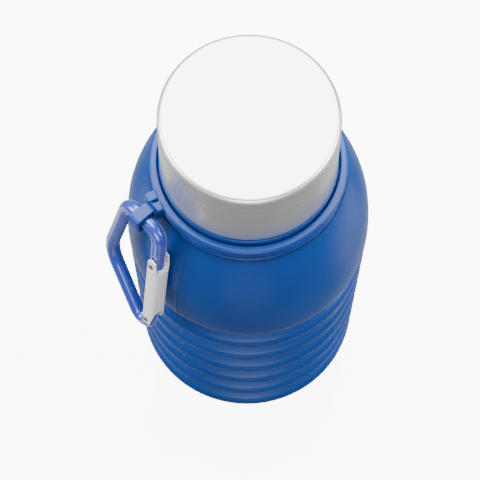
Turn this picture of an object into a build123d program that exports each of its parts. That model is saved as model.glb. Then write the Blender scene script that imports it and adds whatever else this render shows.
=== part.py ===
# Folding water bottle, millimetres, +Z up, origin at the middle of the base.
# The bottle stands on its base cup; the carry ring's loop points to the left front.
import math
import os

from build123d import *

os.makedirs("parts", exist_ok=True)

# overall sizes
bottle_h = 168.0            # base to the top of the lid
wall = 1.8                  # silicone wall of the folding rings
ring_r = 37.6               # widest radius of a folding ring
ring_top_r = 33.0           # outer radius at a ring's upper edge
ring_h = 12.0               # height of one folding ring
pitch = 14.0                # ring to ring, extended
ring_count = 5

# base cup
base_r = 36.0
base_floor = 2.4
base_edge_z = 3.0           # height of the cup's widest edge

# neck and mouth
mouth_r = 17.5
neck_core_r = 20.5
thread_h = 1.2              # how far a neck thread stands out
neck_bottom_z = 122.0
neck_top_z = 160.0
collar_r = 22.5
flange_r = 24.2
flange_z = 124.0
flange_t = 3.0
sleeve_r = 26.0             # silicone sleeve that the carry ring turns on
sleeve_top_z = 139.0

# threads, three starts
starts = 3
lead = 12.0
ridge_w = 1.1
thread_z = 146.0
thread_turns_h = 8.5
radial_gap = 0.5            # crest to root, lid thread against neck thread

# lid
lid_r = 25.5
lid_wall = 0.5
lid_bottom_z = 139.6
lid_fit = 0.05              # insert inside the steel shell
gasket_t = 1.8
gasket_inner_r = 17.0

# carry ring
carry_fit = 0.35
carry_t = 2.4
carry_h = 4.8
carry_z = 132.5
boss_w = 7.2                # where the band's two ends meet
boss_out = 3.9
waist_w = 4.2
root_back = 7.4             # waist's root, back from the loop's middle
loop_az = 222.0             # which way the loop points
loop_x = -30.17
loop_y = -16.73
loop_z = 134.9
loop_len = 7.4
loop_wall = 1.15
loop_w = 4.0

# carabiner
wire_r = 2.2
tilt = 12.5                 # the hanging carabiner leans outward
rivet_r = 0.7
pin_fit = 0.05
notch_gap = 0.45            # nose notch round the latch pin
sheet = 0.4
flange_gap = 0.12
gate_len = 33.6             # pivot to the gate's top end
gate_end = 2.3              # gate below its pivot
gate_back = -1.35           # the flanges' open edge, from the pivot towards the spine
web_low = 4.6               # the web is cut back at both ends
web_high = 26.8
latch_y = 30.4
nose_y = 28.0

# ring positions
ring_z = [base_edge_z + pitch * (n + 1) for n in range(ring_count)]
ring_z.reverse()            # ring 1 is the top one
shoulder_z = ring_z[0] + pitch


def turned(points, name):
    with BuildPart() as body:
        with BuildSketch(Plane.XZ):
            with BuildLine():
                Polyline(*points, close=True)
            make_face()
        revolve(axis=Axis.Z)
    body.part.label = name
    return body


# base cup: flat foot, one conical wall like the rings
cup_top = base_edge_z + ring_h
with BuildPart() as base_cup:
    with BuildSketch(Plane.XZ):
        with BuildLine():
            Polyline(
                (0, 0), (base_r - 0.8, 0), (base_r, 0.5), (ring_r - 0.25, base_edge_z - 0.9),
                (ring_r, base_edge_z), (ring_top_r, cup_top), (ring_top_r - wall, cup_top),
                (ring_r - wall - 0.4, base_edge_z + 1.0), (ring_r - wall - 2.2, base_floor),
                (0, base_floor), close=True,
            )
        make_face()
    revolve(axis=Axis.Z)
    with BuildSketch(Plane.XY):
        Circle(24.0)
        Circle(20.0, mode=Mode.SUBTRACT)
    extrude(amount=0.8, mode=Mode.SUBTRACT)
base_cup.part.label = "base_cup"
export_step(base_cup.part, "parts/base_cup.step")

# folding rings: cones that slide up inside one another when the bottle is folded
for n, low in enumerate(ring_z):
    name = "fold_ring_" + str(n + 1)
    ring = turned(
        [
            (ring_r, low), (ring_r - 0.15, low + 0.9), (ring_top_r, low + ring_h),
            (ring_top_r - wall, low + ring_h), (ring_r - wall, low),
        ],
        name,
    )
    export_step(ring.part, "parts/" + name + ".step")

# neck insert: hard tube, flange held in the silicone, three-start thread
with BuildPart() as neck_insert:
    with BuildSketch(Plane.XZ):
        with BuildLine():
            Polyline(
                (mouth_r, neck_bottom_z), (collar_r, neck_bottom_z), (collar_r, flange_z),
                (flange_r, flange_z), (flange_r, flange_z + flange_t), (collar_r, flange_z + flange_t),
                (collar_r, sleeve_top_z), (neck_core_r, sleeve_top_z + 0.6),
                (neck_core_r, neck_top_z - 0.5), (neck_core_r - 0.5, neck_top_z),
                (mouth_r + 0.3, neck_top_z), (mouth_r, neck_top_z - 0.3), close=True,
            )
        make_face()
    revolve(axis=Axis.Z)
    crest = neck_core_r + thread_h
    with BuildLine() as neck_helix:
        Helix(pitch=lead, height=thread_turns_h, radius=neck_core_r, center=(0, 0, thread_z))
    with BuildSketch(Plane(origin=(neck_core_r, 0, thread_z), x_dir=(1, 0, 0), z_dir=(0, 1, 0))):
        Polygon(
            (-0.5, -ridge_w / 2 - 0.1), (thread_h, -ridge_w / 2 + 0.3), (thread_h, ridge_w / 2 - 0.3),
            (-0.5, ridge_w / 2 + 0.1), align=None,
        )
    neck_ridge = sweep(path=neck_helix.wires()[0], is_frenet=True, mode=Mode.PRIVATE)
    for n in range(starts):
        add(neck_ridge.rotate(Axis.Z, 360 * n / starts))
neck_insert.part.label = "neck_insert"
export_step(neck_insert.part, "parts/neck_insert.step")

# shoulder: silicone dome with the sleeve round the neck insert
with BuildPart() as shoulder:
    with BuildSketch(Plane.XZ):
        with BuildLine():
            l1 = Polyline(
                (collar_r, neck_bottom_z), (collar_r, flange_z), (flange_r, flange_z),
                (flange_r, flange_z + flange_t), (collar_r, flange_z + flange_t),
                (collar_r, sleeve_top_z), (sleeve_r - 0.4, sleeve_top_z), (sleeve_r, sleeve_top_z - 0.4),
                (sleeve_r, 131.4), (28.5, 131.4), (28.9, 131.0), (28.9, 130.2), (28.3, 129.6),
            )
            l2 = Spline((28.3, 129.6), (30.9, 124.5), (34.1, 116.0), (36.3, 106.5), (37.3, 97.5), (37.6, 91.5))
            l3 = Polyline((37.6, 91.5), (ring_r, shoulder_z), (ring_r - wall, shoulder_z), (35.7, 91.5))
            l4 = Spline((35.7, 91.5), (35.4, 97.0), (34.2, 106.0), (31.7, 115.0), (28.4, 120.2), (25.5, 121.8))
            l5 = Polyline((25.5, 121.8), (collar_r, neck_bottom_z))
        make_face()
    revolve(axis=Axis.Z)
shoulder.part.label = "shoulder"
export_step(shoulder.part, "parts/shoulder.step")

# lid shell: thin steel cap, slightly domed
with BuildPart() as lid_shell:
    with BuildSketch(Plane.XZ):
        with BuildLine():
            ThreePointArc((0, bottle_h), (12.2, bottle_h - 0.1), (24.3, bottle_h - 0.4))
            ThreePointArc((24.3, bottle_h - 0.4), (25.15, bottle_h - 0.75), (lid_r, bottle_h - 1.6))
            Polyline(
                (lid_r, bottle_h - 1.6), (lid_r, lid_bottom_z), (lid_r - lid_wall, lid_bottom_z),
                (lid_r - lid_wall, bottle_h - 1.7), (24.1, bottle_h - 1.0), (0, bottle_h - 0.7), (0, bottle_h),
            )
        make_face()
    revolve(axis=Axis.Z)
lid_shell.part.label = "lid_shell"
export_step(lid_shell.part, "parts/lid_shell.step")

# lid insert: plastic cup with the inner thread
insert_r = lid_r - lid_wall - lid_fit
bore_r = neck_core_r + thread_h + radial_gap
disc_z = neck_top_z + gasket_t
with BuildPart() as lid_insert:
    with BuildSketch(Plane.XZ):
        with BuildLine():
            Polyline(
                (0, disc_z), (bore_r, disc_z), (bore_r, lid_bottom_z + 0.6), (bore_r + 0.5, lid_bottom_z + 0.1),
                (insert_r, lid_bottom_z + 0.1), (insert_r, bottle_h - 2.0), (insert_r - 1.0, bottle_h - 1.3),
                (bore_r, bottle_h - 1.3), (bore_r, disc_z + 2.0), (0, disc_z + 2.0), close=True,
            )
        make_face()
    revolve(axis=Axis.Z)
    ridge = bore_r - neck_core_r - radial_gap + 0.1
    with BuildLine() as lid_helix:
        Helix(pitch=lead, height=thread_turns_h, radius=bore_r, center=(0, 0, thread_z + lead / starts / 2))
    with BuildSketch(
        Plane(origin=(bore_r, 0, thread_z + lead / starts / 2), x_dir=(1, 0, 0), z_dir=(0, 1, 0))
    ):
        Polygon(
            (0.5, -ridge_w / 2 - 0.1), (-ridge, -ridge_w / 2 + 0.3), (-ridge, ridge_w / 2 - 0.3),
            (0.5, ridge_w / 2 + 0.1), align=None,
        )
    lid_ridge = sweep(path=lid_helix.wires()[0], is_frenet=True, mode=Mode.PRIVATE)
    for n in range(starts):
        add(lid_ridge.rotate(Axis.Z, 360 * n / starts))
lid_insert.part.label = "lid_insert"
export_step(lid_insert.part, "parts/lid_insert.step")

# gasket between the neck's rim and the lid's disc
with BuildPart() as lid_gasket:
    with BuildSketch(Plane.XY.offset(neck_top_z)):
        Circle(bore_r - 0.35)
        Circle(gasket_inner_r, mode=Mode.SUBTRACT)
    extrude(amount=gasket_t)
lid_gasket.part.label = "lid_gasket"
export_step(lid_gasket.part, "parts/lid_gasket.step")

# carry ring: thin band round the sleeve, a joined boss and a square loop
az = math.radians(loop_az)
out_dir = Vector(math.cos(az), math.sin(az), 0)
side_dir = Vector(-math.sin(az), math.cos(az), 0)
loop_c = Vector(loop_x, loop_y, loop_z)
carry_in = sleeve_r + carry_fit
carry_out = carry_in + carry_t
carry_mid_z = carry_z + carry_h / 2
root = loop_c - out_dir * root_back
root_az = math.atan2(root.Y, root.X)
root_out = Vector(math.cos(root_az), math.sin(root_az), 0)
hole = loop_len - 2 * loop_wall
with BuildPart() as carry_ring:
    with BuildSketch(Plane.XY.offset(carry_z)):
        Circle(carry_out)
    extrude(amount=carry_h)
    fillet(carry_ring.edges().filter_by(GeomType.CIRCLE), 0.9)
    # boss where the band's ends meet
    boss_c = root_out * (carry_out + 0.6) + Vector(0, 0, carry_mid_z)
    with BuildSketch(Plane(origin=boss_c - root_out * 1.6, x_dir=root_out.cross(Vector(0, 0, 1)), z_dir=root_out)):
        RectangleRounded(boss_w, carry_h, 0.8)
    extrude(amount=boss_out)
    # waist out to the loop
    with BuildSketch(Plane(origin=root, x_dir=side_dir, z_dir=out_dir)):
        RectangleRounded(waist_w, carry_h - 1.2, 0.7)
    extrude(amount=root_back - hole / 2 - 0.4)
    # square loop, its hole runs sideways
    with BuildSketch(Plane(origin=loop_c - side_dir * loop_w / 2, x_dir=out_dir, z_dir=side_dir)):
        RectangleRounded(loop_len, loop_len, 1.2)
    extrude(amount=loop_w)
    with BuildSketch(Plane(origin=loop_c - side_dir * loop_w, x_dir=out_dir, z_dir=side_dir)):
        RectangleRounded(hole, hole, 0.5)
    extrude(amount=loop_w * 2, mode=Mode.SUBTRACT)
    with BuildSketch(Plane.XY.offset(carry_z - 2)):
        Circle(carry_in)
    extrude(amount=carry_h + 4, mode=Mode.SUBTRACT)
    # seam between the band's two ends
    with BuildSketch(Plane(origin=boss_c + root_out * 2.4, x_dir=root_out.cross(Vector(0, 0, 1)), z_dir=root_out)):
        Rectangle(0.35, carry_h + 2)
    extrude(amount=-1.4, mode=Mode.SUBTRACT)
carry_ring.part.label = "carry_ring"
export_step(carry_ring.part, "parts/carry_ring.step")

# carabiner plane: x along the loop's hole, y up the carabiner, z outward
face = Vector(
    math.cos(math.radians(tilt)) * math.cos(az), math.cos(math.radians(tilt)) * math.sin(az),
    math.sin(math.radians(tilt)),
)
bar = side_dir
clip = Plane(origin=loop_c, x_dir=bar, z_dir=face)

# wire path corners on the carabiner plane: (x, y, bend radius)
pivot = (11.8, -44.2)
nose_dir = (-3.0 / 31.64, 31.5 / 31.64)
nose_tip = (pivot[0] + nose_dir[0] * nose_y, pivot[1] + nose_dir[1] * nose_y)
corners = [(7.4, 0.0, 4.6), (-6.0, 0.0, 5.2), (-9.6, -31.5, 15.0), (11.9, -57.4, 3.4)]
tail = (pivot[0] + nose_dir[0] * 2.4, pivot[1] + nose_dir[1] * 2.4)
path_pts = [nose_tip] + [c[:2] for c in corners] + [pivot]


def bend(before, corner, after, radius):
    a = Vector(before[0] - corner[0], before[1] - corner[1]).normalized()
    b = Vector(after[0] - corner[0], after[1] - corner[1]).normalized()
    half = math.acos(max(-1.0, min(1.0, a.dot(b)))) / 2
    reach = radius / math.tan(half)
    mid_dir = (a + b).normalized()
    centre = radius / math.sin(half)
    c = Vector(corner[0], corner[1])
    return c + a * reach, c + mid_dir * (centre - radius), c + b * reach


with BuildPart() as carabiner_frame:
    with BuildLine(clip) as clip_wire:
        here = path_pts[0]
        for n, corner in enumerate(corners):
            first, mid, last = bend(path_pts[n], corner, path_pts[n + 2], corner[2])
            Line(here, (first.X, first.Y))
            ThreePointArc((first.X, first.Y), (mid.X, mid.Y), (last.X, last.Y))
            here = (last.X, last.Y)
        Line(here, tail)
    start = clip.from_local_coords(Vector(nose_tip[0], nose_tip[1], 0))
    up_dir = clip.from_local_coords(Vector(nose_tip[0] + nose_dir[0], nose_tip[1] + nose_dir[1], 0)) - start
    with BuildSketch(Plane(origin=start, x_dir=face, z_dir=up_dir)):
        Circle(wire_r)
    sweep(path=clip_wire.wires()[0])
    gate_plane = Plane(
        origin=clip.from_local_coords(Vector(pivot[0], pivot[1], 0)), x_dir=up_dir.cross(face), z_dir=face
    )
    # hole for the gate's rivet
    with BuildSketch(gate_plane.offset(-wire_r - 1)):
        Circle(rivet_r)
    extrude(amount=2 * wire_r + 2, mode=Mode.SUBTRACT)
    # notch in the nose, open towards the spine
    with BuildSketch(gate_plane.offset(-wire_r - 1)):
        with Locations((0, latch_y)):
            Circle(rivet_r + notch_gap)
        with Locations((-2.5, latch_y)):
            Rectangle(5, 2 * (rivet_r + notch_gap))
    extrude(amount=2 * wire_r + 2, mode=Mode.SUBTRACT)
carabiner_frame.part.label = "carabiner_frame"
export_step(carabiner_frame.part, "parts/carabiner_frame.step")

# gate: folded sheet channel, its web cut back at both ends
inner_half = wire_r + flange_gap
outer_half = inner_half + sheet
web_in = wire_r + 0.15
gate_w = web_in + sheet - gate_back
gate_mid = gate_back + gate_w / 2
with BuildPart() as carabiner_gate:
    with BuildSketch(gate_plane.offset(-outer_half)):
        with Locations((gate_mid, (gate_len - gate_end) / 2)):
            RectangleRounded(gate_w, gate_len + gate_end, gate_w * 0.42)
    extrude(amount=2 * outer_half)
    # hollow of the channel, open towards the spine
    with BuildSketch(gate_plane.offset(-inner_half)):
        with Locations((web_in - 4.0, gate_len / 2)):
            Rectangle(8.0, gate_len + 12)
    extrude(amount=2 * inner_half, mode=Mode.SUBTRACT)
    for low, high in ((-6.0, web_low), (web_high, gate_len + 4)):
        with BuildSketch(gate_plane.offset(-inner_half)):
            with Locations((web_in + 1.0, (low + high) / 2)):
                Rectangle(3.0, high - low)
        extrude(amount=2 * inner_half, mode=Mode.SUBTRACT)
    with BuildSketch(gate_plane.offset(-outer_half - 1)):
        Circle(rivet_r + pin_fit)
        with Locations((0, latch_y)):
            Circle(rivet_r)
    extrude(amount=2 * outer_half + 2, mode=Mode.SUBTRACT)
carabiner_gate.part.label = "carabiner_gate"
export_step(carabiner_gate.part, "parts/carabiner_gate.step")

# two riveted pins: the pivot and the latch
for name, y in (("gate_rivet", 0.0), ("latch_pin", latch_y)):
    with BuildPart() as pin:
        with BuildSketch(gate_plane.offset(-outer_half)):
            with Locations((0, y)):
                Circle(rivet_r)
        extrude(amount=2 * outer_half)
        for side in (-1, 1):
            lift = outer_half + (pin_fit if name == "gate_rivet" else 0.0)
            with BuildSketch(gate_plane.offset(side * lift)):
                with Locations((0, y)):
                    Circle(rivet_r + 0.45)
            extrude(amount=side * 0.4)
        if name == "gate_rivet":
            with BuildSketch(gate_plane.offset(-outer_half - pin_fit)):
                with Locations((0, y)):
                    Circle(rivet_r)
            extrude(amount=2 * (outer_half + pin_fit))
    pin.part.label = name
    export_step(pin.part, "parts/" + name + ".step")

# return spring inside the gate's channel
spring_foot = gate_plane.from_local_coords(Vector(0, 4.2, 0))
with BuildPart() as gate_spring:
    with BuildLine() as coil:
        Helix(pitch=1.6, height=9.6, radius=1.25, center=spring_foot, direction=gate_plane.y_dir)
    with BuildSketch(Plane(origin=coil.line @ 0, z_dir=coil.line % 0)):
        Circle(0.3)
    sweep(path=coil.wires()[0], is_frenet=True)
gate_spring.part.label = "gate_spring"
export_step(gate_spring.part, "parts/gate_spring.step")
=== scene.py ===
import math

import bmesh
import bpy
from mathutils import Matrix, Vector


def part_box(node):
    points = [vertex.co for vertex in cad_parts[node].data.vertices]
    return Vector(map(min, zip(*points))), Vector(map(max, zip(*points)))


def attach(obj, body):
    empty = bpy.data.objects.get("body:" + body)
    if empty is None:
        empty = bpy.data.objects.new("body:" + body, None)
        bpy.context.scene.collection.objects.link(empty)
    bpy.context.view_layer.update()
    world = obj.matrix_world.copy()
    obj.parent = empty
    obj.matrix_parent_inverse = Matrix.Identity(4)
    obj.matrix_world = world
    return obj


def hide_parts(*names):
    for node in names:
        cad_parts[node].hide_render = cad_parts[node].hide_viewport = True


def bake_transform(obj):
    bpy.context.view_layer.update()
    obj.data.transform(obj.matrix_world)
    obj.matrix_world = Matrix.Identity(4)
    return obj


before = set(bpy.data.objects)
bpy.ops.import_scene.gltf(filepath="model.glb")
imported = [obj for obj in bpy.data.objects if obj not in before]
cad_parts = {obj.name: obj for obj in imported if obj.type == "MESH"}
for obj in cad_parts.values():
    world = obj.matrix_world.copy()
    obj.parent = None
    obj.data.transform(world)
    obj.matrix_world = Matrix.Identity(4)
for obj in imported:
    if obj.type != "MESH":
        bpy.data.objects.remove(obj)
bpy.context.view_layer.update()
mm = 0.001
print("frame loaded")


# small helpers for node materials

def newMaterial(name):
    mat = bpy.data.materials.new(name)
    mat.use_nodes = True
    nodes = mat.node_tree.nodes
    return mat, nodes, mat.node_tree.links, nodes["Principled BSDF"]


def noiseNode(nodes, links, vector, scale, detail=4, rough=0.5):
    tex = nodes.new("ShaderNodeTexNoise")
    tex.inputs["Scale"].default_value = scale
    tex.inputs["Detail"].default_value = detail
    tex.inputs["Roughness"].default_value = rough
    links.new(vector, tex.inputs["Vector"])
    return tex.outputs["Fac"]


def rampNode(nodes, links, value, stops):
    ramp = nodes.new("ShaderNodeValToRGB")
    for k, (pos, col) in enumerate(stops):
        stop = ramp.color_ramp.elements[k] if k < 2 else ramp.color_ramp.elements.new(pos)
        stop.position = pos
        stop.color = (*col, 1) if len(col) == 3 else col
    links.new(value, ramp.inputs["Fac"])
    return ramp.outputs["Color"]


def rangeNode(nodes, links, value, low, high):
    fit = nodes.new("ShaderNodeMapRange")
    fit.inputs["To Min"].default_value = low
    fit.inputs["To Max"].default_value = high
    links.new(value, fit.inputs["Value"])
    return fit.outputs["Result"]


def bumpNode(nodes, links, shader, height, strength, distance):
    bump = nodes.new("ShaderNodeBump")
    bump.inputs["Strength"].default_value = strength
    bump.inputs["Distance"].default_value = distance
    links.new(height, bump.inputs["Height"])
    links.new(bump.outputs["Normal"], shader.inputs["Normal"])


# moulded silicone: satin skin, fine mould grain, slight unevenness in colour
silicone = {
    "deep": (0.0001, 0.022, 0.128), "bright": (0.0002, 0.028, 0.155), "cloudScale": 32, "smearScale": 140,
    "roughLow": 0.33, "roughHigh": 0.42, "ior": 1.31, "grainScale": 1900, "grainStrength": 0.35,
    "grainDepth": 0.00002,
}


def siliconeMaterial():
    mat, nodes, links, shader = newMaterial("mouldedSilicone")
    coord = nodes.new("ShaderNodeTexCoord").outputs["Object"]
    cloud = noiseNode(nodes, links, coord, silicone["cloudScale"], 3)
    tone = rampNode(nodes, links, cloud, [(0.3, silicone["deep"]), (0.75, silicone["bright"])])
    links.new(tone, shader.inputs["Base Color"])
    smear = noiseNode(nodes, links, coord, silicone["smearScale"], 5, 0.6)
    rough = rangeNode(nodes, links, smear, silicone["roughLow"], silicone["roughHigh"])
    links.new(rough, shader.inputs["Roughness"])
    shader.inputs["IOR"].default_value = silicone["ior"]
    grain = noiseNode(nodes, links, coord, silicone["grainScale"], 2)
    bumpNode(nodes, links, shader, grain, silicone["grainStrength"], silicone["grainDepth"])
    return mat


# satin moulded plastic: the neck and lid inserts, the strap and the seal
plastic = {
    "navyPlastic": {"colour": (0.008, 0.018, 0.10), "rough": 0.42, "ior": 1.45},
    "strapPlastic": {"colour": (0.0003, 0.026, 0.17), "rough": 0.3, "ior": 1.33},
    "paleSeal": {"colour": (0.62, 0.66, 0.72), "rough": 0.5, "ior": 1.45},
    "dim": 0.86, "toneScale": 60, "smearScale": 240, "smoother": 0.05, "rougher": 0.07,
    "grainScale": 2600, "grainStrength": 0.2, "grainDepth": 0.00001,
}


def plasticMaterial(name):
    mat, nodes, links, shader = newMaterial(name)
    coord = nodes.new("ShaderNodeTexCoord").outputs["Object"]
    finish = plastic[name]
    dim = tuple(plastic["dim"] * c for c in finish["colour"])
    cloud = noiseNode(nodes, links, coord, plastic["toneScale"], 3)
    tone = rampNode(nodes, links, cloud, [(0.3, dim), (0.7, finish["colour"])])
    links.new(tone, shader.inputs["Base Color"])
    smear = noiseNode(nodes, links, coord, plastic["smearScale"], 4)
    low = finish["rough"] - plastic["smoother"]
    high = finish["rough"] + plastic["rougher"]
    rough = rangeNode(nodes, links, smear, low, high)
    links.new(rough, shader.inputs["Roughness"])
    shader.inputs["IOR"].default_value = finish["ior"]
    grain = noiseNode(nodes, links, coord, plastic["grainScale"], 2)
    bumpNode(nodes, links, shader, grain, plastic["grainStrength"], plastic["grainDepth"])
    return mat


# steel: turned brush lines on the lid, straight ones along the gate
steel = {
    "brushedLid": {"tint": (0.68, 0.672, 0.665), "dim": 0.8, "lines": 2600, "metal": 0.8},
    "sheetSteel": {"tint": (0.92, 0.925, 0.94), "dim": 0.95, "lines": 2200, "metal": 0.5},
    "rivetSteel": {"tint": (0.34, 0.335, 0.33), "dim": 0.8, "lines": 2200, "metal": 1},
    "gateGrain": (0.097, 0.215, 0.972), "roughLow": 0.24, "roughHigh": 0.34, "anisotropic": 0.3,
    "lineStrength": 0.03, "lineDepth": 0.000003,
}


def turnedLines(nodes, links, coord):
    # the same value all the way round a circle
    split = nodes.new("ShaderNodeSeparateXYZ")
    links.new(coord, split.inputs["Vector"])
    flat = nodes.new("ShaderNodeCombineXYZ")
    links.new(split.outputs["X"], flat.inputs["X"])
    links.new(split.outputs["Y"], flat.inputs["Y"])
    length = nodes.new("ShaderNodeVectorMath")
    length.operation = "LENGTH"
    links.new(flat.outputs["Vector"], length.inputs[0])
    join = nodes.new("ShaderNodeCombineXYZ")
    links.new(length.outputs["Value"], join.inputs["X"])
    links.new(split.outputs["Z"], join.inputs["Z"])
    return join.outputs["Vector"]


def straightLines(nodes, links, coord, grain):
    # the same value all along the grain
    along = nodes.new("ShaderNodeVectorMath")
    along.operation = "PROJECT"
    along.inputs[1].default_value = grain
    links.new(coord, along.inputs[0])
    across = nodes.new("ShaderNodeVectorMath")
    across.operation = "SUBTRACT"
    links.new(coord, across.inputs[0])
    links.new(along.outputs["Vector"], across.inputs[1])
    return across.outputs["Vector"]


def brushedSteelMaterial(name, grain=None):
    mat, nodes, links, shader = newMaterial(name)
    coord = nodes.new("ShaderNodeTexCoord").outputs["Object"]
    place = straightLines(nodes, links, coord, grain) if grain else turnedLines(nodes, links, coord)
    finish = steel[name]
    lines = noiseNode(nodes, links, place, finish["lines"], 3, 0.65)
    dim = tuple(finish["dim"] * c for c in finish["tint"])
    tone = rampNode(nodes, links, lines, [(0.3, dim), (0.7, finish["tint"])])
    links.new(tone, shader.inputs["Base Color"])
    rough = rangeNode(nodes, links, lines, steel["roughLow"], steel["roughHigh"])
    links.new(rough, shader.inputs["Roughness"])
    shader.inputs["Metallic"].default_value = finish["metal"]
    shader.inputs["Anisotropic"].default_value = steel["anisotropic"]
    bumpNode(nodes, links, shader, lines, steel["lineStrength"], steel["lineDepth"])
    return mat


# gloss enamel over aluminium, with a little orange peel
enamel = {
    "colour": (0.008, 0.040, 0.34), "dark": (0.004, 0.028, 0.27), "toneScale": 90,
    "roughLow": 0.18, "roughHigh": 0.32, "smearScale": 300, "metal": 0.3, "coat": 0.8, "coatRough": 0.08,
    "haze": 0.45, "hazeRough": 0.35, "hazeTint": (0.72, 0.76, 1, 1),
    "peelScale": 420, "peelStrength": 0.12, "peelDepth": 0.00003,
}


def enamelMaterial():
    mat, nodes, links, shader = newMaterial("glossEnamel")
    coord = nodes.new("ShaderNodeTexCoord").outputs["Object"]
    cloud = noiseNode(nodes, links, coord, enamel["toneScale"], 3)
    tone = rampNode(nodes, links, cloud, [(0.3, enamel["dark"]), (0.7, enamel["colour"])])
    links.new(tone, shader.inputs["Base Color"])
    smear = noiseNode(nodes, links, coord, enamel["smearScale"], 4)
    rough = rangeNode(nodes, links, smear, enamel["roughLow"], enamel["roughHigh"])
    links.new(rough, shader.inputs["Roughness"])
    shader.inputs["Metallic"].default_value = enamel["metal"]
    shader.inputs["Coat Weight"].default_value = enamel["coat"]
    shader.inputs["Coat Roughness"].default_value = enamel["coatRough"]
    # a pale haze where the rod is seen along its length
    shader.inputs["Sheen Weight"].default_value = enamel["haze"]
    shader.inputs["Sheen Roughness"].default_value = enamel["hazeRough"]
    shader.inputs["Sheen Tint"].default_value = enamel["hazeTint"]
    peel = noiseNode(nodes, links, coord, enamel["peelScale"], 2)
    bumpNode(nodes, links, shader, peel, enamel["peelStrength"], enamel["peelDepth"])
    return mat


siliconeLook = siliconeMaterial()
navyLook = plasticMaterial("navyPlastic")
strapLook = plasticMaterial("strapPlastic")
sealLook = plasticMaterial("paleSeal")
lidLook = brushedSteelMaterial("brushedLid")
sheetLook = brushedSteelMaterial("sheetSteel", steel["gateGrain"])
rivetLook = brushedSteelMaterial("rivetSteel")
enamelLook = enamelMaterial()
print("materials made")


# shape helpers

def roundedLoop(corners, steps=5):
    # corners are (x, y, radius); a radius of 0 keeps the corner sharp
    points = []
    count = len(corners)
    for k, (x, y, radius) in enumerate(corners):
        here = Vector((x, y))
        if radius <= 0:
            points.append(here)
            continue
        back = (Vector(corners[k - 1][:2]) - here).normalized()
        ahead = (Vector(corners[(k + 1) % count][:2]) - here).normalized()
        half = back.angle(ahead) / 2
        reach = radius / math.tan(half)
        centre = here + (back + ahead).normalized() * (radius / math.sin(half))
        first = here + back * reach - centre
        sweep = first.angle_signed(here + ahead * reach - centre)
        for s in range(steps + 1):
            turn = -sweep * s / steps
            c, d = math.cos(turn), math.sin(turn)
            points.append(centre + Vector((first.x * c - first.y * d, first.x * d + first.y * c)))
    return points


def smoothRun(points, steps=6):
    # a smooth line through a few points
    out = []
    for k in range(len(points) - 1):
        p0 = Vector(points[max(k - 1, 0)])
        p1, p2 = Vector(points[k]), Vector(points[k + 1])
        p3 = Vector(points[min(k + 2, len(points) - 1)])
        for s in range(steps):
            t = s / steps
            out.append(0.5 * (2 * p1 + (p2 - p0) * t + (2 * p0 - 5 * p1 + 4 * p2 - p3) * t * t
                              + (3 * p1 - p0 - 3 * p2 + p3) * t ** 3))
    out.append(Vector(points[-1]))
    return out


def finishMesh(bm, name, look, sharpAngle=40):
    bmesh.ops.recalc_face_normals(bm, faces=bm.faces)
    limit = math.radians(sharpAngle)
    for face in bm.faces:
        face.smooth = True
    for edge in bm.edges:
        edge.smooth = not (len(edge.link_faces) == 2 and edge.calc_face_angle(0) > limit)
    mesh = bpy.data.meshes.new(name)
    bm.to_mesh(mesh)
    bm.free()
    mesh.materials.append(look)
    obj = bpy.data.objects.new(name, mesh)
    bpy.context.scene.collection.objects.link(obj)
    return obj


# the mould's parting line runs down both sides of the silicone
mould = {"seamAngle": 234, "seamWidth": 0.5, "seamHeight": 0.09 * mm, "columns": 180}


def columnAngles(withSeam):
    count = mould["columns"]
    angles = [math.tau * k / count for k in range(count)]
    if withSeam:
        for side in (0, 180):
            middle = math.radians(mould["seamAngle"] + side)
            for step in (-1, -0.5, 0, 0.5, 1):
                angles.append((middle + math.radians(mould["seamWidth"]) * step) % math.tau)
    return sorted(angles)


def seamLift(angle):
    lift = 0
    for side in (0, 180):
        away = (math.degrees(angle) - mould["seamAngle"] - side + 180) % 360 - 180
        lift += math.exp(-((away / mould["seamWidth"]) ** 2) * 4)
    return lift * mould["seamHeight"]


def turnedPiece(name, outline, look, withSeam=False, seamFrom=None, sharpAngle=40):
    # outline is a closed loop of (radius, height) in metres; points on the axis close the piece
    bm = bmesh.new()
    angles = columnAngles(withSeam)
    rings = []
    for x, z in outline:
        if x < 1e-7:
            rings.append([bm.verts.new((0, 0, z))])
            continue
        ring = []
        for a in angles:
            r = x + (seamLift(a) if withSeam and (seamFrom is None or x > seamFrom(z)) else 0)
            ring.append(bm.verts.new((r * math.cos(a), r * math.sin(a), z)))
        rings.append(ring)
    n = len(angles)
    for k in range(len(rings)):
        a, b = rings[k], rings[(k + 1) % len(rings)]
        if len(a) == 1 and len(b) == 1:
            continue
        for j in range(n):
            i = (j + 1) % n
            if len(a) == 1:
                bm.faces.new((a[0], b[j], b[i]))
            elif len(b) == 1:
                bm.faces.new((a[j], b[0], a[i]))
            else:
                bm.faces.new((a[j], b[j], b[i], a[i]))
    return finishMesh(bm, name, look, sharpAngle)


# silicone body: shoulder, folds and base

def inMm(points):
    return [(x * mm, z * mm) for x, z in points]


folds = {
    "count": 5, "wall": 1.8 * mm, "ringTop": 33.0 * mm, "edge": 0.6 * mm, "innerEdge": 0.5 * mm,
    # how far the fold's outside lies in from its widest radius, and how high up the fold, in mm
    "crest": [(0.7, 0.0), (0.12, 0.7), (0.0, 1.7), (0.2, 3.1), (0.9, 4.3), (2.1, 5.1), (3.2, 5.8),
              (3.85, 7.1), (4.2, 9.0), (4.5, 11.0)],
    "skin": 0.4 * mm,       # the undercut between two folds
}

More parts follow.
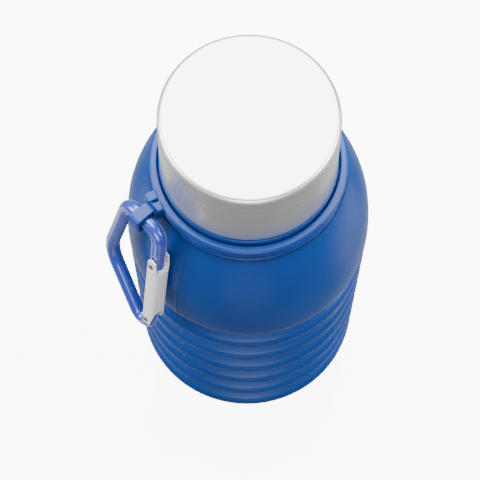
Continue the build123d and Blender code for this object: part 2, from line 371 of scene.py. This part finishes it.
shoulderLow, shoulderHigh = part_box("shoulder")
wide = shoulderHigh.x
shoulder = {
    # radius and height in mm, from under the bead down to the widest radius
    "outside": [(28.35, 129.4), (30.9, 124.5), (34.1, 116.0), (36.3, 106.5), (37.3, 97.5)], "widestZ": 91.5,
    # and back up to the neck
    "inside": [(35.3, 97.0), (34.2, 106.0), (31.7, 115.0), (28.4, 120.2), (25.5, 121.8), (22.5, 122.0)],
    "wall": 2.0 * mm, "wallZ": 92.0, "footRise": 3 * mm, "lip": 1.9 * mm, "footEdge": 1.1 * mm,
    "lipEdge": 0.7 * mm,
}
sleeve = {
    "radius": 26.0 * mm, "inner": 22.5 * mm, "top": shoulderHigh.z, "topEdge": 0.7 * mm,
    "innerEdge": 0.3 * mm, "bead": 28.9 * mm, "beadLow": 130.0 * mm, "beadHigh": 131.0 * mm,
    "beadEdge": 0.45 * mm,
    "foot": [(26.0, 131.7, 0.5), (28.2, 131.55, 0.3)],      # where the carry ring sits
}


def makeShoulder():
    low = shoulderLow.z
    dome = smoothRun(inMm(shoulder["outside"]) + [(wide, shoulder["widestZ"] * mm)], 7)
    rise = low + shoulder["footRise"]
    foot = roundedLoop([
        (wide, rise, 0), (wide, low, shoulder["footEdge"]),
        (wide - shoulder["lip"], low, shoulder["lipEdge"]), (wide - shoulder["wall"], rise, 0),
    ])
    inside = smoothRun([(wide - shoulder["wall"], shoulder["wallZ"] * mm)] + inMm(shoulder["inside"]))
    corners = [
        (sleeve["inner"], sleeve["top"], sleeve["innerEdge"]),
        (sleeve["radius"], sleeve["top"], sleeve["topEdge"]),
    ]
    corners += [(x * mm, z * mm, edge * mm) for x, z, edge in sleeve["foot"]]
    corners += [(sleeve["bead"], sleeve[end], sleeve["beadEdge"]) for end in ("beadHigh", "beadLow")]
    outline = roundedLoop(corners, 4) + dome + foot + inside

    def seamFrom(z):
        return sleeve["radius"] + mm if z < sleeve["beadLow"] else 1

    piece = turnedPiece("siliconeShoulder", outline, siliconeLook, True, seamFrom)
    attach(piece, "upper")
    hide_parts("shoulder")


def foldOutline(low, high):
    # one cone of the bellows with a rounded crest
    top = folds["ringTop"]
    crest = smoothRun([(wide - inset * mm, low + rise * mm) for inset, rise in folds["crest"]], 4)
    inside = roundedLoop([
        (crest[0].x, low + 0.1 * mm, 0), (wide - folds["wall"], low, 0.4 * mm),
        (top - folds["wall"], high, folds["innerEdge"]), (top - 0.1 * mm, high, folds["edge"]),
        (crest[-1].x, crest[-1].y, 0),
    ], 5)
    return crest + inside[::-1][1:-1]


def makeFolds():
    for k in range(1, folds["count"] + 1):
        low, high = (corner.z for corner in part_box("fold_ring_" + str(k)))
        slope = (wide - folds["ringTop"]) / (high - low)

        def seamFrom(z):
            return wide - mm - slope * (z - low)

        piece = turnedPiece("siliconeFold" + str(k), foldOutline(low, high), siliconeLook, True, seamFrom)
        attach(piece, "fold_" + str(k))
        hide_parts("fold_ring_" + str(k))


base = {
    "widestZ": 3 * mm, "floor": 2.4 * mm, "recess": 0.8 * mm, "recessRadius": 20.0 * mm,
    "standRadius": 20.6 * mm, "standOuter": 35.6 * mm, "undercut": 1.2 * mm, "corner": 4.2 * mm,
    "cornerRound": 1.0 * mm, "smallRound": 0.4 * mm, "seamFrom": 33.5 * mm,
}


def makeBase():
    low, high = (corner.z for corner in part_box("base_cup"))
    top = folds["ringTop"]
    widest = low + base["widestZ"]
    small, large = base["smallRound"], base["cornerRound"]
    crest = smoothRun([(wide - inset * mm, widest + rise * mm) for inset, rise in folds["crest"][1:]], 4)
    foot = roundedLoop([
        (0, low + base["recess"], 0), (base["recessRadius"], low + base["recess"], small),
        (base["standRadius"], low, small), (base["standOuter"], low, large),
        (crest[0].x, crest[0].y - base["undercut"], 0),
    ], 5)
    inside = roundedLoop([
        (crest[-1].x, crest[-1].y, 0), (top - 0.1 * mm, high, folds["edge"]),
        (top - folds["wall"], high, folds["innerEdge"]),
        (wide - folds["wall"] - 0.6 * mm, widest + base["undercut"], large),
        (wide - base["corner"], base["floor"], large), (0, base["floor"], 0),
    ], 5)
    outline = foot + crest + inside[1:]
    piece = turnedPiece("siliconeBase", outline, siliconeLook, True, lambda z: base["seamFrom"])
    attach(piece, "base")
    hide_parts("base_cup")


def makeWebs():
    # the thin undercut skin that joins each cone to the one below it
    numbers = range(1, folds["count"] + 1)
    tops = [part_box("fold_ring_" + str(k))[1].z for k in numbers] + [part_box("base_cup")[1].z]
    lows = [shoulderLow.z] + [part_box("fold_ring_" + str(k))[0].z for k in numbers]
    for k, (low, top) in enumerate(zip(lows, tops)):
        # it starts under the upper cone's edge and ends inside the lower cone's top
        outer = smoothRun([
            (wide - 1.1 * mm, low + 0.5 * mm), (wide - 1.7 * mm, low - 0.15 * mm),
            (35.0 * mm, (low * 0.65 + top * 0.35)), (33.6 * mm, (low * 0.3 + top * 0.7)),
            (32.6 * mm, top + 0.05 * mm), (32.2 * mm, top - 0.7 * mm),
        ], 4)
        inner = [Vector((p.x - folds["skin"], p.y + folds["skin"] * 0.5)) for p in reversed(outer)]
        piece = turnedPiece("siliconeWeb" + str(k + 1), outer + inner, siliconeLook)
        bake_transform(piece)


makeShoulder()
makeFolds()
makeBase()
makeWebs()
print("silicone body made")


# lid: drawn steel cap with a soft dome

lid = {
    "wall": 0.5 * mm, "edge": 1.5 * mm, "dome": 0.5 * mm, "domed": 0.94,
    "domeSteps": (0, 0.2, 0.4, 0.6, 0.8, 0.93), "rimIn": 0.35 * mm, "rimDrop": 0.1 * mm,
    "mouthEdge": 0.22 * mm, "mouthInnerEdge": 0.15 * mm,
}


def makeLid():
    low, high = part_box("lid_shell")
    r = high.x
    dome = [(r * lid["domed"] * t, high.z - lid["dome"] * t * t) for t in lid["domeSteps"]]
    last = lid["domeSteps"][-1]
    rim = roundedLoop([
        (r * lid["domed"] * last, high.z - lid["dome"] * last ** 2, 0),
        (r - lid["rimIn"], high.z - lid["dome"] - lid["rimDrop"], lid["edge"]),
        (r, low.z + 1.2 * mm, 0), (r, low.z, lid["mouthEdge"]),
        (r - lid["wall"], low.z, lid["mouthInnerEdge"]), (r - lid["wall"], high.z - 1.9 * mm, 0.5 * mm),
        (r - 1.6 * mm, high.z - 1.1 * mm, 0), (0, high.z - 0.8 * mm, 0),
    ], 8)
    piece = turnedPiece("steelLid", dome[:-1] + rim, lidLook, sharpAngle=50)
    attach(piece, "lid")
    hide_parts("lid_shell")


makeLid()
print("lid made")


# carry ring: band, two joined ears, waist and a square loop

clip = {
    "centre": Vector((-30.17, -16.73, 134.9)) * mm, "aim": math.radians(222), "tilt": math.radians(12.5),
    "wire": 2.2 * mm, "pivot": (11.8, -44.2), "nose": (-3.0 / 31.64, 31.5 / 31.64), "noseEnd": 28.0,
    "latch": 30.4,
}
outward = Vector((math.cos(clip["aim"]), math.sin(clip["aim"]), 0))
sideways = Vector((-math.sin(clip["aim"]), math.cos(clip["aim"]), 0))
faceOut = (outward * math.cos(clip["tilt"]) + Vector((0, 0, 1)) * math.sin(clip["tilt"])).normalized()
clipUp = faceOut.cross(sideways)

carry = {
    "inner": 26.35 * mm, "outer": 28.75 * mm, "height": 4.8 * mm, "z": 132.5 * mm, "innerEdge": 0.4 * mm,
    "outerEdge": 1.0 * mm, "root": 7.4 * mm, "loop": 7.4 * mm, "bar": 1.15 * mm, "loopWidth": 4.0 * mm,
    "loopEdge": 0.9 * mm, "barEdge": 0.4 * mm, "earWidth": 3.3 * mm, "earGap": 0.4 * mm, "earDepth": 3.9 * mm,
    "earOut": 0.9 * mm, "waist": 4.1 * mm, "waistHeight": 3.9 * mm, "edge": 0.8 * mm, "voxel": 0.17 * mm,
}


def slab(bm, centre, axes, sizes, radius, steps=3, soft=None):
    # a block with soft edges: a rounded outline in the first two axes, softened ends on the third
    a, b, c = axes
    w, h, d = (s / 2 for s in sizes)
    soft = radius * 0.6 if soft is None else soft
    rings = []
    for lift, inset in ((-1, soft), (-1 + soft * 0.3 / d, soft * 0.3), (-1 + soft / d, 0),
                        (1 - soft / d, 0), (1 - soft * 0.3 / d, soft * 0.3), (1, soft)):
        x, y = w - inset, h - inset
        r = radius - inset
        loop = roundedLoop([(x, y, r), (-x, y, r), (-x, -y, r), (x, -y, r)], steps)
        rings.append([bm.verts.new(centre + a * p.x + b * p.y + c * d * lift) for p in loop])
    for k in range(len(rings) - 1):
        for j in range(len(rings[k])):
            i = (j + 1) % len(rings[k])
            bm.faces.new((rings[k][j], rings[k][i], rings[k + 1][i], rings[k + 1][j]))
    bm.faces.new(rings[0])
    bm.faces.new(rings[-1])


def rod(bm, points, tangents, section, flatNormal, closed=False):
    # section(k) gives the loop of (across, out) points at station k of the path,
    # which lies in the plane that flatNormal stands on
    rings = []
    for k, (p, t) in enumerate(zip(points, tangents)):
        across = t.cross(flatNormal).normalized()
        rings.append([bm.verts.new(p + across * q[0] + flatNormal * q[1]) for q in section(k)])
    last = len(rings) if closed else len(rings) - 1
    for k in range(last):
        a, b = rings[k], rings[(k + 1) % len(rings)]
        for j in range(len(a)):
            i = (j + 1) % len(a)
            bm.faces.new((a[j], a[i], b[i], b[j]))
    if not closed:
        bm.faces.new(rings[0])
        bm.faces.new(rings[-1])


def squareLoop(width, height, edge):
    w, h = width / 2, height / 2
    return [(w, h, edge), (-w, h, edge), (-w, -h, edge), (w, -h, edge)]


def makeCarryRing():
    low, high = carry["z"], carry["z"] + carry["height"]
    mid = carry["z"] + carry["height"] / 2
    band = turnedPiece("carryBand", roundedLoop([
        (carry["inner"], low, carry["innerEdge"]), (carry["inner"], high, carry["innerEdge"]),
        (carry["outer"], high, carry["outerEdge"]), (carry["outer"], low, carry["outerEdge"])], 6), strapLook)
    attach(band, "ring")

    bm = bmesh.new()
    root = clip["centre"] - outward * carry["root"]
    rootOut = Vector((root.x, root.y, 0)).normalized()
    rootSide = Vector((-rootOut.y, rootOut.x, 0))
    up = Vector((0, 0, 1))
    for side in (-1, 1):
        away = side * (carry["earWidth"] + carry["earGap"]) / 2
        ear = rootOut * (carry["outer"] + carry["earOut"]) + rootSide * away + up * mid
        sizes = (carry["earDepth"], carry["height"], carry["earWidth"])
        slab(bm, ear, (rootOut, up, rootSide), sizes, carry["edge"])
    # waist between the ears and the loop
    start = rootOut * (carry["outer"] + 1.2 * mm) + up * mid
    end = clip["centre"] - outward * (carry["loop"] / 2 - 0.6 * mm)
    along = (end - start).normalized()
    sizes = (carry["waist"], carry["waistHeight"], (end - start).length)
    slab(bm, (start + end) / 2, (along.cross(up), up, along), sizes, carry["edge"])
    # square loop
    side = carry["loop"] - carry["bar"]
    path = roundedLoop(squareLoop(side, side, carry["loopEdge"]), 6)
    points = [clip["centre"] + outward * p.x + up * p.y for p in path]
    count = len(points)
    tangents = [(points[(k + 1) % count] - points[k - 1]).normalized() for k in range(count)]
    profile = roundedLoop(squareLoop(carry["bar"], carry["loopWidth"], carry["barEdge"]), 4)
    rod(bm, points, tangents, lambda k: profile, sideways, True)
    tab = finishMesh(bm, "carryTab", strapLook)
    # melt the blocks into one moulding
    bpy.context.view_layer.objects.active = tab
    tab.select_set(True)
    melt = tab.modifiers.new("melt", "REMESH")
    melt.mode = "VOXEL"
    melt.voxel_size = carry["voxel"]
    melt.use_smooth_shade = True
    soft = tab.modifiers.new("soft", "SMOOTH")
    soft.factor = 0.5
    soft.iterations = 4
    for name in ("melt", "soft"):
        bpy.ops.object.modifier_apply(modifier=name)
    tab.select_set(False)
    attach(tab, "ring")
    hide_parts("carry_ring")


makeCarryRing()
print("carry ring made")


# carabiner: one bent rod, hollowed along the nose, and a sheet gate

def clipPoint(x, y, out=0.0):
    return clip["centre"] + (sideways * x + clipUp * y + faceOut * out) * mm


rodPath = {
    "bends": [(7.4, 0.0, 4.6), (-6.0, 0.0, 5.2), (-9.6, -31.5, 15.0), (11.9, -57.4, 3.4)], "bendSteps": 14,
    "tail": 2.4, "step": 1.3, "sides": 28, "endLength": 0.7 * mm, "endShare": 0.78,
    "grooveDepth": 0.5 * mm, "grooveHalf": 0.75 * mm, "grooveStart": 1.2 * mm, "grooveEnd": 19 * mm,
    "notchLength": 7.1 * mm, "notchWidth": 2.3 * mm, "notchRound": 1.1 * mm, "notchX": -2.4,
}


def onGate(x, y, out=0.0):
    # x away from the spine, y up the gate, both in mm from the pivot
    px, py = clip["pivot"]
    nx, ny = clip["nose"]
    return clipPoint(px + nx * y + ny * x, py + ny * y - nx * x, out)


def alongNose(y):
    px, py = clip["pivot"]
    nx, ny = clip["nose"]
    return (px + nx * y, py + ny * y, 0)


def rodStations():
    corners = [alongNose(clip["noseEnd"])] + rodPath["bends"] + [alongNose(rodPath["tail"])]
    flat = roundedLoop(corners, rodPath["bendSteps"])
    # straight runs get a few stations so that the groove and the rounded ends have room
    line = []
    for a, b in zip(flat, flat[1:]):
        steps = max(1, round((b - a).length / rodPath["step"]))
        line += [a.lerp(b, s / steps) for s in range(steps)]
    line.append(flat[-1])
    ends = [0.0, 0.12, 0.35, 0.7]      # mm from each end
    first, last = line[0], line[-1]
    head = [first.lerp(line[1], e / (line[1] - first).length) for e in ends]
    foot = [last.lerp(line[-2], e / (line[-2] - last).length) for e in reversed(ends)]
    return [clipPoint(p.x, p.y) for p in head + line[1:-1] + foot]


def cutNotch(piece):
    # the nose is notched for the latch pin, open towards the spine
    cut = bpy.data.objects.new("notchCutter", bpy.data.meshes.new("notchCutter"))
    bpy.context.scene.collection.objects.link(cut)
    gateUp = (onGate(0, 1) - onGate(0, 0)).normalized()
    gateOut = (onGate(1, 0) - onGate(0, 0)).normalized()
    bm = bmesh.new()
    middle = onGate(rodPath["notchX"], clip["latch"])
    sizes = (rodPath["notchLength"], rodPath["notchWidth"], 8 * mm)
    slab(bm, middle, (gateOut, gateUp, faceOut), sizes, rodPath["notchRound"], 6, 0.05 * mm)
    bmesh.ops.recalc_face_normals(bm, faces=bm.faces)
    bm.to_mesh(cut.data)
    bm.free()
    notch = piece.modifiers.new("notch", "BOOLEAN")
    notch.object = cut
    notch.operation = "DIFFERENCE"
    bpy.context.view_layer.objects.active = piece
    bpy.ops.object.modifier_apply(modifier="notch")
    bpy.data.objects.remove(cut)


def makeRod():
    points = rodStations()
    last = len(points) - 1
    tangents = []
    for k in range(len(points)):
        tangents.append((points[min(k + 1, last)] - points[max(k - 1, 0)]).normalized())
    walked = [0.0]
    for a, b in zip(points, points[1:]):
        walked.append(walked[-1] + (b - a).length)
    start, end = rodPath["grooveStart"], rodPath["grooveEnd"]

    def section(k):
        fromEnd = min(walked[k], walked[-1] - walked[k])
        e = min(1.0, fromEnd / rodPath["endLength"])
        share = rodPath["endShare"]
        radius = clip["wire"] * (share + (1 - share) * math.sqrt(max(0.0, 1 - (1 - e) ** 2)))
        deep = 0.0
        if start < walked[k] < end:
            deep = rodPath["grooveDepth"] * min(1, (walked[k] - start) / mm, (end - walked[k]) / (2 * mm))
        loop = []
        for j in range(rodPath["sides"]):
            a = math.tau * j / rodPath["sides"]
            x, y = radius * math.cos(a), radius * math.sin(a)
            if y > 0:
                y -= deep * math.exp(-((x / rodPath["grooveHalf"]) ** 2))
            loop.append((x, y))
        return loop

    bm = bmesh.new()
    rod(bm, points, tangents, section, faceOut)
    piece = finishMesh(bm, "carabinerRod", enamelLook, 60)
    cutNotch(piece)
    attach(piece, "clip")
    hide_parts("carabiner_frame")


gate = {
    "half": 2.32, "sheet": 0.4 * mm, "bend": 0.6, "low": -0.45, "high": 31.75, "back": -1.35, "web": 2.35,
    "webLow": 4.6, "webHigh": 26.8, "rows": 40, "rowCrowd": 0.06, "columns": 16, "bendSteps": 5,
    "webSteps": 3, "softEdge": 0.12 * mm,
}


def makeGate():
    # columns run from one flange's edge, round the web, to the other flange's edge
    columns = []
    h, b = gate["half"], gate["bend"]
    edge = gate["back"]
    outer = gate["web"]
    reach = (outer - edge) / 2
    for k in range(gate["columns"] + 1):
        t = k / gate["columns"]
        x = edge + (outer - b - edge) * math.sin(t * math.pi / 2)
        columns.append((x, -h, 0.0))
    for k in range(1, gate["bendSteps"] + 1):
        t = k / gate["bendSteps"]
        a = math.pi / 2 * t
        columns.append((outer - b + b * math.sin(a), -h + b - b * math.cos(a), t))
    for k in range(1, gate["webSteps"]):
        columns.append((outer, (-h + b) * (1 - k / gate["webSteps"]), 1.0))
    columns += [(outer, 0.0, 1.0)] + [(x, -y, w) for x, y, w in reversed(columns)]
    bm = bmesh.new()
    grid = []
    for x, y, web in columns:
        swell = math.sqrt(max(0.0, reach ** 2 - (x - edge - reach) ** 2))
        low = (1 - web) * (gate["low"] - swell) + web * gate["webLow"]
        high = (1 - web) * (gate["high"] + swell) + web * gate["webHigh"]
        column = []
        for r in range(gate["rows"] + 1):
            s = r / gate["rows"]
            s -= gate["rowCrowd"] * math.sin(math.tau * s)      # rows closer together at both ends
            column.append(bm.verts.new(onGate(x, low + (high - low) * s, y)))
        grid.append(column)
    for a, c in zip(grid, grid[1:]):
        for r in range(gate["rows"]):
            bm.faces.new((a[r], a[r + 1], c[r + 1], c[r]))
    piece = finishMesh(bm, "gateSheet", sheetLook)
    thick = piece.modifiers.new("sheet", "SOLIDIFY")
    thick.thickness = gate["sheet"]
    thick.offset = 1
    soft = piece.modifiers.new("edges", "BEVEL")
    soft.width = gate["softEdge"]
    soft.segments = 3
    soft.limit_method = "ANGLE"
    bpy.context.view_layer.objects.active = piece
    for name in ("sheet", "edges"):
        bpy.ops.object.modifier_apply(modifier=name)
    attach(piece, "gate")
    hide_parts("carabiner_gate")


rivet = {"head": 1.15 * mm, "shank": 0.7 * mm, "rise": 0.4 * mm, "sides": 24}


def makeRivet(name, y, bodyName, node):
    # a short shank with two domed heads
    far = gate["half"] * mm + gate["sheet"]
    head, shank, rise = rivet["head"], rivet["shank"], rivet["rise"]
    dome = [Vector((head * math.cos(a), far + rise * math.sin(a))) for a in (0, 0.4, 0.8, 1.2)]
    upper = [Vector((0, far + rise))] + dome[::-1] + [Vector((head, far)), Vector((shank, far))]
    outline = upper + [Vector((p.x, -p.y)) for p in reversed(upper)]
    bm = bmesh.new()
    centre = onGate(0, y)
    count = rivet["sides"]
    turns = [math.tau * j / count for j in range(count)]
    spokes = [sideways * math.cos(a) + clipUp * math.sin(a) for a in turns]
    rings = []
    for p in outline:
        middle = centre + faceOut * p.y
        if p.x < 1e-7:
            rings.append([bm.verts.new(middle)])
        else:
            rings.append([bm.verts.new(middle + spoke * p.x) for spoke in spokes])
    for a, b in zip(rings, rings[1:]):
        for j in range(count):
            i = (j + 1) % count
            if len(a) == 1:
                bm.faces.new((a[0], b[j], b[i]))
            elif len(b) == 1:
                bm.faces.new((a[j], b[0], a[i]))
            else:
                bm.faces.new((a[j], b[j], b[i], a[i]))
    bmesh.ops.remove_doubles(bm, verts=bm.verts, dist=0.00002)
    piece = finishMesh(bm, name, rivetLook)
    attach(piece, bodyName)
    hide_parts(node)


makeRod()
makeGate()
makeRivet("pivotRivet", 0, "clip", "gate_rivet")
makeRivet("latchRivet", clip["latch"], "gate", "latch_pin")
print("carabiner made")


# pieces kept from the frame get their finishes

def repaint(node, look):
    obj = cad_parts[node]
    for place in obj.material_slots:
        place.material = look


repaint("neck_insert", navyLook)
repaint("lid_insert", navyLook)
repaint("lid_gasket", sealLook)
repaint("gate_spring", sheetLook)
print("kept pieces painted")


# pale glossy floor, softboxes and the camera

studio = {
    "floor": (0.045, 0.045, 0.046), "floorRough": 0.06, "floorSize": 14, "floorGlow": 9,
    "top": {"at": (0.0, 0.45, 1.1), "size": 1.4, "power": 66},
    "front": {"at": (0.0, -1.1, 0.6), "size": 0.8, "power": 11},
    "left": {"at": (-0.9, 0.0, 0.6), "size": 0.7, "power": 18},
    "right": {"at": (0.9, 0.0, 0.6), "size": 0.7, "power": 18},
    "world": 0.6,
}


def makeFloor():
    bm = bmesh.new()
    half = studio["floorSize"] / 2
    bmesh.ops.create_grid(bm, x_segments=8, y_segments=8, size=half)
    mat, nodes, links, shader = newMaterial("glossFloor")
    coord = nodes.new("ShaderNodeTexCoord").outputs["Object"]
    shader.inputs["Base Color"].default_value = (*studio["floor"], 1)
    shader.inputs["Specular IOR Level"].default_value = 0.8
    # the floor looks white without lighting the bottle from below
    seen = nodes.new("ShaderNodeLightPath").outputs["Is Camera Ray"]
    shader.inputs["Emission Color"].default_value = (1, 1, 1, 1)
    links.new(rangeNode(nodes, links, seen, 0, studio["floorGlow"]), shader.inputs["Emission Strength"])
    links.new(rangeNode(nodes, links, noiseNode(nodes, links, coord, 30, 3), studio["floorRough"] - 0.03,
                        studio["floorRough"] + 0.05), shader.inputs["Roughness"])
    floor = finishMesh(bm, "floor", mat)
    floor.location.z = -0.05 * mm


def makeLight(name):
    values = studio[name]
    data = bpy.data.lights.new(name + "Softbox", "AREA")
    data.shape = "DISK"
    data.size = values["size"]
    data.energy = values["power"]
    lamp = bpy.data.objects.new(name + "Softbox", data)
    lamp.location = values["at"]
    aim = Vector((0, 0, 0.09)) - Vector(values["at"])
    lamp.rotation_euler = aim.to_track_quat("-Z", "Y").to_euler()
    bpy.context.scene.collection.objects.link(lamp)


def makeWorld():
    world = bpy.data.worlds.new("studioWorld")
    world.use_nodes = True
    back = world.node_tree.nodes["Background"]
    back.inputs["Color"].default_value = (1, 1, 1, 1)
    back.inputs["Strength"].default_value = studio["world"]
    bpy.context.scene.world = world


shot = {"at": (-0.0025, -0.1863, 0.5816), "down": 70, "lens": 125.8}


def makeCamera():
    data = bpy.data.cameras.new("camera")
    data.lens = shot["lens"]
    data.sensor_width = 36
    camera = bpy.data.objects.new("camera", data)
    camera.location = shot["at"]
    camera.rotation_euler = (math.radians(90 - shot["down"]), 0, 0)
    bpy.context.scene.collection.objects.link(camera)
    bpy.context.scene.camera = camera


makeFloor()
for lightName in ("top", "front", "left", "right"):
    makeLight(lightName)
makeWorld()
makeCamera()
print("studio made")
